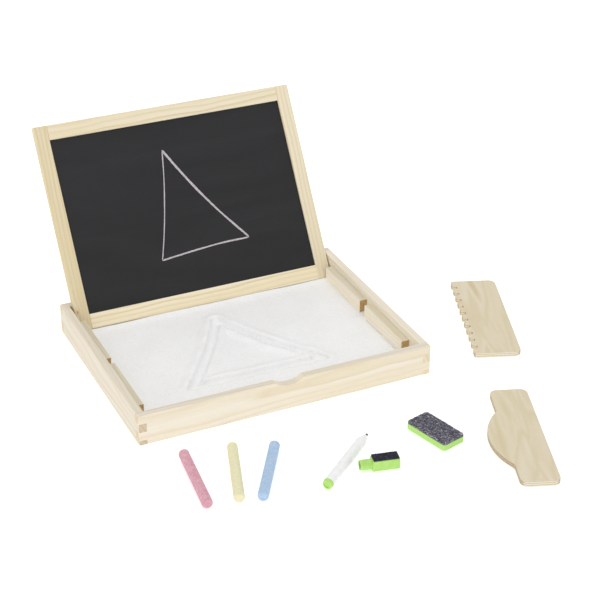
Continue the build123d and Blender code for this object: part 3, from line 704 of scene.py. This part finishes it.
# %% Cast plaster
def cast_chalk(name, deep, pale):
    material, tree, shader = new_finish(name, roughness=0.95)
    scaled = in_mm(tree)
    mottle = add(tree, "TexNoise", {"Vector": scaled, "Scale": 0.45, "Detail": 6.0, "Roughness": 0.65})
    dust = add(tree, "MapRange", {0: mottle, 1: 0.3, 2: 0.7})
    colour = add(tree, "MixRGB", {0: dust, 1: linear(deep), 2: linear(pale)})
    fine = add(tree, "TexNoise", {"Vector": scaled, "Scale": 1.5, "Detail": 4.0, "Roughness": 0.7})
    colour = shaded(tree, colour, fine, 0.3, 0.7, 0.92, 1.05)
    bump = add(tree, "Bump", {"Strength": 0.7, "Distance": 0.1 * MM, "Height": fine})
    connect(tree, shader, Base_Color=colour, Normal=bump)
    return material


PITS = 70
ROUND_STEPS = 48


def chalk_stick(node_name, material, seed):
    """Turn one stick along its node's own axis."""
    middle, along, _, _ = lie_of(node_name)
    points = np.array([v.co for v in nodes[node_name].data.vertices])
    reach = (points - np.array(middle)) @ np.array(along)
    length = reach.max() - reach.min()
    radius = (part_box(node_name)[1].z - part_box(node_name)[0].z) / 2
    side = along.cross(Z).normalized()
    up = side.cross(along)
    luck = random.Random(seed)
    pits = np.array([
        (luck.uniform(0, length), luck.uniform(0, math.tau), luck.uniform(0.5, 1.3) * MM)
        for _ in range(PITS)
    ])
    worn = luck.uniform(1.2, 2.0) * MM
    profile = [(0.0, 0.25), (0.0, 0.55), (0.0, 0.78), (0.25 * MM, 0.9), (worn * 0.6, 0.97)]
    body_steps = 90
    body = [(worn + (length - worn - 0.9 * MM) * i / body_steps, 1.0) for i in range(body_steps + 1)]
    tail = [(length - 0.4 * MM, 0.95), (length, 0.82), (length, 0.55), (length, 0.25)]
    rings = profile + body + tail
    made = []
    for s, share in rings:
        for k in range(ROUND_STEPS):
            turn = math.tau * k / ROUND_STEPS
            wide, high = math.cos(turn), math.sin(turn)
            rough = 0.02 + 0.02 * noise.noise((s / MM * 0.35, wide * 2 + seed, high * 2))
            off = (turn - pits[:, 1] + math.pi) % math.tau - math.pi
            gap = np.hypot(s - pits[:, 0], off * radius) / pits[:, 2]
            rough += 0.05 * np.clip(1 - gap**2, 0, None).sum()
            r = radius * share * (1 - rough)
            crumble = noise.noise((wide * share * 3, high * share * 3, seed))
            inset = 0.15 * MM * abs(crumble)
            place_s = min(max(s, inset), length - inset) - length / 2
            made.append(middle + along * place_s + side * (r * wide) + up * (r * high))
    made += [middle - along * (length / 2 - 0.1 * MM), middle + along * (length / 2 - 0.1 * MM)]
    faces = []
    for i in range(len(rings) - 1):
        for k in range(ROUND_STEPS):
            a, b = i * ROUND_STEPS + k, i * ROUND_STEPS + (k + 1) % ROUND_STEPS
            faces.append((a, b, b + ROUND_STEPS, a + ROUND_STEPS))
    last = (len(rings) - 1) * ROUND_STEPS
    for k in range(ROUND_STEPS):
        following = (k + 1) % ROUND_STEPS
        faces.append((len(made) - 2, following, k))
        faces.append((len(made) - 1, last + k, last + following))
    piece(node_name + "_stick", made, faces, material, node_name, [node_name])


chalk_stick("chalk_pink", cast_chalk("cast_chalk_pink", "#D08C9E", "#E2BAC3"), 3)
chalk_stick("chalk_yellow", cast_chalk("cast_chalk_yellow", "#E5E0AD", "#EFEBCD"), 8)
chalk_stick("chalk_blue", cast_chalk("cast_chalk_blue", "#9CBBDF", "#C2D5E9"), 15)

# %% [markdown]
# ## Marker and cap
# Both are injection-moulded polypropylene: a soft satin sheen, a very faint orange-peel from the
# mould and no grain. The white barrel picks up a little grey handling. The nib is pressed polyester
# fibre soaked in black ink, and the rod that feeds it is hidden in the barrel.

# %% Moulded polypropylene
def moulded_pp(name, main, shade_colour, roughness=0.32):
    material, tree, shader = new_finish(name, roughness=roughness, ior=1.49)
    scaled = in_mm(tree)
    flow = add(tree, "TexNoise", {"Vector": scaled, "Scale": 0.2, "Detail": 3.0})
    blend = add(tree, "MapRange", {0: flow, 1: 0.35, 2: 0.65})
    colour = add(tree, "MixRGB", {0: blend, 1: linear(main), 2: linear(shade_colour)})
    peel = add(tree, "TexNoise", {"Vector": scaled, "Scale": 1.2, "Detail": 2.0})
    rough = add(tree, "MapRange", {0: peel, 3: roughness - 0.05, 4: roughness + 0.08})
    bump = add(tree, "Bump", {"Strength": 0.15, "Distance": 0.05 * MM, "Height": peel})
    connect(tree, shader, Base_Color=colour, Roughness=rough, Normal=bump)
    return material


def fibre(name, dark, light):
    material, tree, shader = new_finish(name, roughness=0.9)
    scaled = in_mm(tree)
    strand = add(tree, "TexNoise", {"Vector": scaled, "Scale": 2.5, "Detail": 5.0, "Roughness": 0.7})
    blend = add(tree, "MapRange", {0: strand, 1: 0.35, 2: 0.65})
    colour = add(tree, "MixRGB", {0: blend, 1: linear(dark), 2: linear(light)})
    bump = add(tree, "Bump", {"Strength": 0.8, "Distance": 0.15 * MM, "Height": strand})
    connect(tree, shader, Base_Color=colour, Normal=bump)
    return material


white_pp = moulded_pp("polypropylene_white", "#F8F8F8", "#F1F1F2", 0.42)
green_pp = moulded_pp("polypropylene_green", "#B8E37C", "#AEDB6E", 0.4)
for name in ("marker_barrel", "marker_nose"):
    wear(name, white_pp)
for name in ("marker_end_plug", "cap_shell"):
    wear(name, green_pp)
wear("marker_nib", fibre("polyester_nib_inked", "#0D0D10", "#1E1E24"))
wear("marker_ink_core", fibre("polyester_filter_inked", "#23232B", "#4A4A55"))

# %% [markdown]
# ## Foam and felt
# The wiper's grip is EVA foam, cut from a sheet: a dull rubbery green with tiny open cells. Its
# working face, and the pad on the marker's cap, is needled felt. Felt has no weave, only short
# fibres of several colours punched into a mat, so it looks speckled from afar and hairy from near.
# The mat is the measured pad with a lumpy surface, and over it lie curved hairs, each a thin
# three-sided thread that takes its own colour from a value stored on its points.

# %% EVA foam
def eva_foam():
    material, tree, shader = new_finish("eva_foam_green", roughness=0.7)
    scaled = in_mm(tree)
    cells = add(tree, "TexVoronoi", {"Vector": scaled, "Scale": 2.0})
    flow = add(tree, "TexNoise", {"Vector": scaled, "Scale": 0.12, "Detail": 3.0})
    colour = add(tree, "MixRGB", {0: flow, 1: linear("#ABDB70"), 2: linear("#BBE286")})
    colour = shaded(tree, colour, cells, 0.1, 0.6, 0.86, 1.03)
    bump = add(tree, "Bump", {"Strength": 0.4, "Distance": 0.12 * MM, "Height": cells})
    connect(tree, shader, Base_Color=colour, Normal=bump)
    return material


wear("wiper_base", eva_foam())

# %% Needled felt
FELT_TINTS = [(0.0, "#2B2A2F"), (0.28, "#4B4A53"), (0.5, "#706E7B"), (0.68, "#93919E"),
              (0.82, "#60566F"), (0.93, "#B0ADB7"), (1.0, "#D0CCD2")]
BLACK_TINTS = [(0.0, "#15151B"), (0.5, "#222230"), (0.85, "#33334A"), (1.0, "#474763")]


def felt_mat(name, tints):
    """The mat: specks about as large as a tuft of fibres, with fine noise over them."""
    material, tree, shader = new_finish(name, roughness=0.95)
    scaled = in_mm(tree)
    warp = add(tree, "TexNoise", {"Vector": scaled, "Scale": 0.8, "Detail": 3.0})
    shifted = add(tree, "VectorMath", {0: scaled, 1: warp.outputs["Color"]}, operation="ADD")
    tuft = add(tree, "TexVoronoi", {"Vector": shifted, "Scale": 0.9})
    pick = add(tree, "SeparateColor", {0: tuft.outputs["Color"]})
    colour = add(tree, "ValToRGB", {0: pick.outputs[0]}, stops=tints)
    hair = add(tree, "TexNoise", {"Vector": scaled, "Scale": 3.0, "Detail": 4.0, "Roughness": 0.8})
    colour = shaded(tree, colour, hair, 0.3, 0.7, 0.7, 1.2)
    bump = add(tree, "Bump", {"Strength": 0.8, "Distance": 0.2 * MM, "Height": hair})
    connect(tree, shader, Base_Color=colour, Normal=bump)
    return material


def felt_hair(name, tints):
    """The loose hairs: each has one value, and the ramp turns it into a colour."""
    material, tree, shader = new_finish(name, roughness=0.8)
    value = add(tree, "Attribute", attribute_name="hair_tint")
    colour = add(tree, "ValToRGB", {0: value.outputs["Fac"]}, stops=tints)
    scaled = in_mm(tree)
    streak = add(tree, "TexNoise", {"Vector": scaled, "Scale": 4.0, "Detail": 2.0})
    colour = shaded(tree, colour, streak, 0.0, 1.0, 0.85, 1.15)
    connect(tree, shader, Base_Color=colour)
    return material


HAIR_THICKNESS = 0.09        # mm; real fibres are 0.02 mm, too thin to see


def lumpy_pad(name, node_name, body, material, voxel, lump):
    """Remesh the measured pad finely and push its skin in and out."""
    pad = bpy.data.objects.new(name, nodes[node_name].data.copy())
    bpy.context.scene.collection.objects.link(pad)
    finer = pad.modifiers.new("finer", "REMESH")
    finer.mode = "VOXEL"
    finer.voxel_size = voxel * MM
    dense = bpy.data.meshes.new_from_object(pad.evaluated_get(bpy.context.evaluated_depsgraph_get()))
    pad.modifiers.clear()
    pad.data = dense
    low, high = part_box(node_name)
    for vert in dense.vertices:
        spot = vert.co / MM
        push = lump * MM * (noise.noise(spot * 0.9) + 0.6 * noise.noise(spot * 2.3))
        vert.co += vert.normal * (push - lump * MM * 0.4)
        vert.co.z = max(vert.co.z, low.z)
    dense.materials.clear()
    dense.materials.append(material)
    dense.polygons.foreach_set("use_smooth", [True] * len(dense.polygons))
    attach(pad, body)
    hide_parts(node_name)
    print(name, len(dense.vertices), "points")


def hairs(name, node_name, body, material, count, reach, seed):
    """Curved threads that lie over the pad's top and stray a little past its edges."""
    luck = random.Random(seed)
    middle, along, across, _ = lie_of(node_name)
    points = np.array([v.co for v in nodes[node_name].data.vertices]) - np.array(middle)
    half_length = np.abs(points @ np.array(along)).max()
    half_width = np.abs(points @ np.array(across)).max()
    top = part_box(node_name)[1].z
    made, faces, tints = [], [], []
    for _ in range(count):
        u = luck.uniform(-0.97, 0.97) * half_length
        v = luck.uniform(-0.95, 0.95) * half_width
        heading = luck.uniform(0, math.tau)
        curl = luck.uniform(-1.6, 1.6)
        length = luck.uniform(0.5, 1.0) * reach * MM
        rise = luck.uniform(0.02, 0.22) * MM
        spot = middle + along * u + across * v
        spot.z = top - 0.05 * MM
        tint = luck.random()
        segments = 5
        first = len(made)
        for i in range(segments + 1):
            share = i / segments
            angle = heading + curl * share
            forward = along * math.cos(angle) + across * math.sin(angle)
            if i:
                spot = spot + forward * (length / segments)
            side = forward.cross(Z)
            bow = Vector((0, 0, rise * math.sin(math.pi * share)))
            thick = HAIR_THICKNESS * MM / 2 * (1 - 0.5 * abs(2 * share - 1))
            for corner in range(3):
                turn = math.tau * corner / 3
                made.append(spot + bow + side * (thick * math.cos(turn)) + Z * (thick * math.sin(turn)))
                tints.append(tint)
        for i in range(segments):
            for corner in range(3):
                a, b = first + 3 * i + corner, first + 3 * i + (corner + 1) % 3
                faces.append((a, b, b + 3, a + 3))
        faces.append((first + 2, first + 1, first))
        faces.append((first + 3 * segments, first + 3 * segments + 1, first + 3 * segments + 2))
    thing = piece(name, made, faces, material, body)
    thing.data.attributes.new("hair_tint", "FLOAT", "POINT").data.foreach_set("value", tints)


lumpy_pad("wiper_felt_mat", "wiper_felt", "wiper",
          felt_mat("needled_felt_grey", FELT_TINTS), voxel=0.45, lump=0.22)
hairs("wiper_felt_hairs", "wiper_felt", "wiper",
      felt_hair("felt_fibre_grey", FELT_TINTS), count=1500, reach=5.0, seed=21)
lumpy_pad("cap_felt_mat", "cap_felt", "marker_cap",
          felt_mat("needled_felt_black", BLACK_TINTS), voxel=0.3, lump=0.1)
hairs("cap_felt_hairs", "cap_felt", "marker_cap",
      felt_hair("felt_fibre_black", BLACK_TINTS), count=260, reach=3.0, seed=22)

# %% [markdown]
# ## Table, light and camera
# The set lies on a plain white table under soft studio light: one large soft box on the left in
# front, about 25 degrees up, a second overhead and a bright white room, so that shadows are faint
# and colours stay true.
# A product lens of 100 mm, seen from a little left of the middle and about 29 degrees above the
# table, keeps the box's edges almost parallel.

# %% Table
bpy.ops.mesh.primitive_plane_add(size=60, location=(0, 0, -0.0004))
table = bpy.context.object
table.name = "table_top"
material, tree, shader = new_finish("table_laminate_white", roughness=0.6)
grit = add(tree, "TexNoise", {"Vector": add(tree, "TexCoord").outputs["Object"], "Scale": 300.0})
tone = add(tree, "MapRange", {0: grit, 3: 0.90, 4: 0.93})
connect(tree, shader, Base_Color=tone)
shader.inputs["Emission Color"].default_value = (1, 1, 1, 1)
shader.inputs["Emission Strength"].default_value = 0.36
table.data.materials.append(material)


# %% Lights
def soft_box(name, place, aim, size, power):
    lamp = bpy.data.lights.new(name, "AREA")
    lamp.shape = "SQUARE"
    lamp.size = size
    lamp.energy = power
    thing = bpy.data.objects.new(name, lamp)
    thing.location = place
    thing.rotation_euler = (Vector(aim) - Vector(place)).to_track_quat("-Z", "Y").to_euler()
    bpy.context.scene.collection.objects.link(thing)


soft_box("key_light", (-1.8, -1.6, 1.1), (0, 0, 0.05), 1.4, 9)
soft_box("top_light", (0.3, 0.4, 2.2), (0, 0, 0), 2.0, 10)
world = bpy.data.worlds.new("white_room")
world.use_nodes = True
world.node_tree.nodes["Background"].inputs["Color"].default_value = (1, 1, 1, 1)
world.node_tree.nodes["Background"].inputs["Strength"].default_value = 0.78
scene = bpy.context.scene
scene.world = world
scene.view_settings.view_transform = "Standard"

# %% Camera
CAMERA_AZIMUTH = math.radians(-24.85)
CAMERA_ELEVATION = math.radians(28.93)
CAMERA_DISTANCE = 1.7401
CAMERA_TARGET = Vector((0.0972, 0.0815, 0.0))
back = Vector((
    math.sin(CAMERA_AZIMUTH) * math.cos(CAMERA_ELEVATION),
    -math.cos(CAMERA_AZIMUTH) * math.cos(CAMERA_ELEVATION),
    math.sin(CAMERA_ELEVATION),
))
lens = bpy.data.cameras.new("product_lens")
lens.lens = 100.2
lens.sensor_width = 36.0
camera = bpy.data.objects.new("camera", lens)
camera.location = CAMERA_TARGET + back * CAMERA_DISTANCE
camera.rotation_euler = (-back).to_track_quat("-Z", "Y").to_euler()
scene.collection.objects.link(camera)
scene.camera = camera
print("camera at", [round(v, 3) for v in camera.location])
